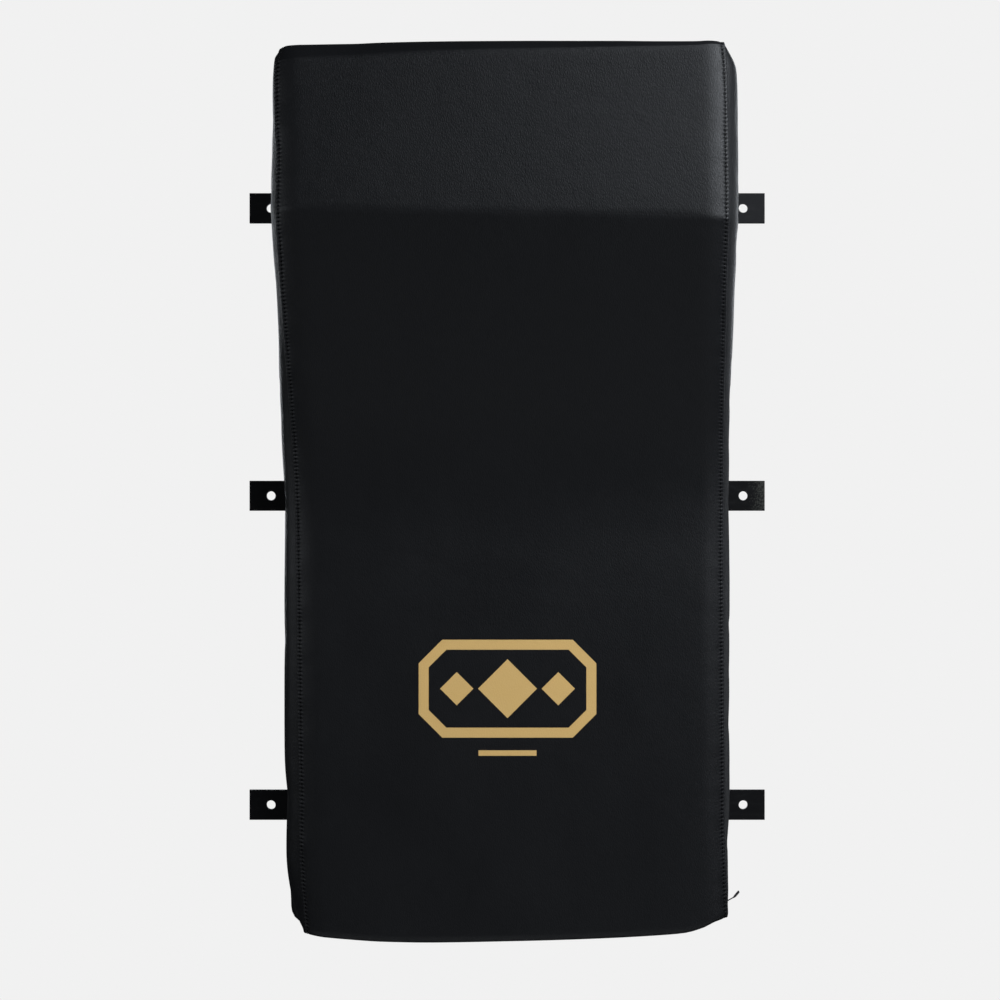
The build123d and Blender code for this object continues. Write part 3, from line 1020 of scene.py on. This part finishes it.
def make_dust_cloth_look():
    look = Look("non_woven_cloth", Roughness=0.92, Specular_IOR_Level=0.2, Sheen_Weight=0.1)
    fibres = look.noise(look.place("grain"), 1.6, 5.0, 0.75, 1.5)
    dots = look.cells(look.place("grain"), 0.42, randomness=0.15)
    embossed = look.span(dots, 0.12, 0.42, 0, 1)
    height = look.math("ADD", look.math("MULTIPLY", fibres, 0.6), embossed)
    tone = look.span(fibres, 0.35, 0.65, 0, 1)
    look.drive(
        Base_Color=look.blend(tone, (0.010, 0.010, 0.011), (0.026, 0.026, 0.028)),
        Normal=look.bump(height, 0.00025, 0.6),
    )
    return look


def make_foam(name, dark, light, scale):
    look = Look(name, Roughness=0.95, Specular_IOR_Level=0.2)
    cells = look.cells(look.place(), scale)
    patches = look.noise(look.place(), 30, 3.0)
    tone = look.math("MULTIPLY", look.span(cells, 0, 0.7, 0, 1), patches)
    look.drive(Base_Color=look.blend(tone, dark, light), Normal=look.bump(cells, 0.0005, 0.6))
    return look


def make_plywood():
    look = Look("birch_plywood", Roughness=0.6)
    streaks = look.noise(look.place(scale=(30, 1, 2.2)), 6.0, 6.0, 0.65, 0.8)
    depth = look.place(scale=(0, 1, 0))
    plies = look.node("ShaderNodeTexWave", {"Vector": depth}, Scale=105.0, Distortion=0.0)
    plies.bands_direction = "Y"
    wood = look.blend(streaks, (0.46, 0.31, 0.17), (0.68, 0.52, 0.33))
    edge = look.node("ShaderNodeNewGeometry").outputs["Normal"]
    facing = look.math("ABSOLUTE", look.node("ShaderNodeSeparateXYZ", {"Vector": edge}).outputs[1])
    layered = look.blend(plies.outputs["Fac"], (0.30, 0.18, 0.09), (0.62, 0.46, 0.28))
    look.drive(
        Base_Color=look.blend(look.span(facing, 0.3, 0.7, 0, 1), layered, wood),
        Normal=look.bump(streaks, 0.0002, 0.4),
    )
    return look


leather = make_leather()
leather.wear(front_wrap, left_side, right_side)
thread, hole_shade = make_thread(), make_hole_shade()
for piece in (left_thread, right_thread):
    piece.data.materials.append(thread.material)
    piece.data.materials.append(hole_shade.material)
make_gold().wear(front_motif)
make_dust_cloth_look().wear(dust_cloth)
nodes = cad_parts
# Lit and shaded copies of one black paint: the top bar's is painted lighter than the others, a painted light
# for the light falling on its tabs; the chips at the middle bar's end are real wear
make_paint("black_paint_painted_light", 0.008, 0.014).wear(nodes["top_bar"])
make_paint("black_paint", 0.004, 0.009).wear(nodes["bottom_bar"])
make_paint("black_paint_chipped", 0.003, 0.008, chipped=True).wear(nodes["middle_bar"])
make_zinc().wear(nodes["bar_screws"], nodes["tee_nuts"], nodes["rear_staples"])
make_plywood().wear(nodes["backboard"])
make_foam("firm_foam", (0.42, 0.38, 0.28), (0.78, 0.73, 0.60), 900).wear(base_foam, nose_foam)
make_foam("strike_foam", (0.02, 0.02, 0.022), (0.06, 0.06, 0.065), 1100).wear(strike_foam)

# ------------------------ riding on the frame
PIECES = (
    (front_wrap, "front_wrap", "cover_leatherette"),
    (left_side, "left_gusset", "cover_leatherette"),
    (right_side, "right_gusset", "cover_leatherette"),
    (left_thread, "left_topstitch", "seam_thread"),
    (right_thread, "right_topstitch", "seam_thread"),
    (front_motif, "front_print", "gold_ink"),
    (dust_cloth, "dust_cover", "dust_cloth"),
    (strike_foam, "strike_layer", "strike_foam"),
    (nose_foam, "nose_block", "firm_foam"),
    (base_foam, "base_foam", "firm_foam"),
)
for piece, node, slot in PIECES:
    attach(piece, "root")
    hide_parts(node)

# ------------------------ floor, light and camera
FLOOR_RADIUS = 2200.0
FLOOR_OUT = 2100.0
FLOOR_HEIGHT = -1250.0
FLOOR_SIDES = 128


def make_floor():
    """A round pale floor in front of the wall."""
    turn = np.linspace(0, 2 * math.pi, FLOOR_SIDES, endpoint=False)
    out = FLOOR_RADIUS * np.sin(turn) - FLOOR_OUT
    rim = np.stack([FLOOR_RADIUS * np.cos(turn), out, np.full(FLOOR_SIDES, FLOOR_HEIGHT)], 1)
    floor = mesh_object("floor", rim, [tuple(range(FLOOR_SIDES))])
    look = Look("pale_floor", Roughness=0.8)
    look.drive(Base_Color=look.blend(look.noise(look.place(), 3.0), (0.60, 0.60, 0.60), (0.63, 0.63, 0.63)))
    look.wear(floor)


def make_world():
    """A pale backdrop for the camera, with only a little of its light on the pad."""
    world = bpy.data.worlds.new("studio")
    bpy.context.scene.world = world
    world.use_nodes = True
    tree = world.node_tree
    tree.nodes.clear()
    seen = tree.nodes.new("ShaderNodeBackground")
    seen.inputs["Color"].default_value = (0.8796, 0.8796, 0.8796, 1)
    felt = tree.nodes.new("ShaderNodeBackground")
    felt.inputs["Color"].default_value = (0.93, 0.97, 1.0, 1)
    felt.inputs["Strength"].default_value = 0.02
    ray = tree.nodes.new("ShaderNodeLightPath")
    mixed = tree.nodes.new("ShaderNodeMixShader")
    output = tree.nodes.new("ShaderNodeOutputWorld")
    tree.links.new(ray.outputs["Is Camera Ray"], mixed.inputs[0])
    tree.links.new(felt.outputs[0], mixed.inputs[1])
    tree.links.new(seen.outputs[0], mixed.inputs[2])
    tree.links.new(mixed.outputs[0], output.inputs["Surface"])


LIGHTS = (
    # name, turned from the front, raised, distance, size, watts
    ("front", 25, 30, 2.8, 1.0, 31),
    ("key", 60, 30, 2.8, 1.0, 30),
    ("high", 48, 55, 2.8, 1.0, 46),
    ("side", 42, 5, 2.8, 1.0, 17),
    ("low_side", 75, 12, 2.8, 1.0, 12),
    ("near_right", 60, 35, 1.23, 0.35, 6.5),
    ("near_left", -62, 8, 1.6, 0.5, 4.4),
    ("left", -90, 5, 2.8, 1.0, 11),
    ("left_fill", -40, 5, 2.8, 1.0, 5.0),
    ("right_rim", 125, 10, 2.8, 1.0, 4),
    ("low_right", 118, -14, 1.6, 0.6, 1.2),
    ("rear_right", 163, 20, 2.8, 1.4, 26),
    ("rear_left", -163, 8, 2.8, 1.4, 24),
)
LIGHT_LEVEL = 0.95
AIM = Vector((0, -0.1, 0))


def make_light(name, turned, raised, distance, size, watts):
    """A square soft light aimed at the pad, placed by its angles from straight in front."""
    lamp = bpy.data.lights.new(name, "AREA")
    lamp.shape = "SQUARE"
    lamp.size = size
    lamp.energy = watts * LIGHT_LEVEL
    lamp.color = (0.93, 0.98, 1.04)
    around, up = math.radians(turned), math.radians(raised)
    flat = distance * math.cos(up)
    place = Vector((flat * math.sin(around), -flat * math.cos(around), distance * math.sin(up)))
    holder = bpy.data.objects.new(name, lamp)
    holder.location = place
    holder.rotation_euler = (AIM - place).to_track_quat("-Z", "Y").to_euler()
    holder.visible_camera = False
    bpy.context.scene.collection.objects.link(holder)


def make_camera():
    camera = bpy.data.cameras.new("camera")
    camera.lens = 65.1
    camera.sensor_width = 36
    holder = bpy.data.objects.new("camera", camera)
    holder.location = (-0.0083, -2.11, -0.0049)
    holder.rotation_euler = (math.pi / 2, 0, 0)
    bpy.context.scene.collection.objects.link(holder)
    bpy.context.scene.camera = holder
    bpy.context.scene.view_settings.view_transform = "Standard"


make_floor()
make_world()
for light in LIGHTS:
    make_light(*light)
make_camera()
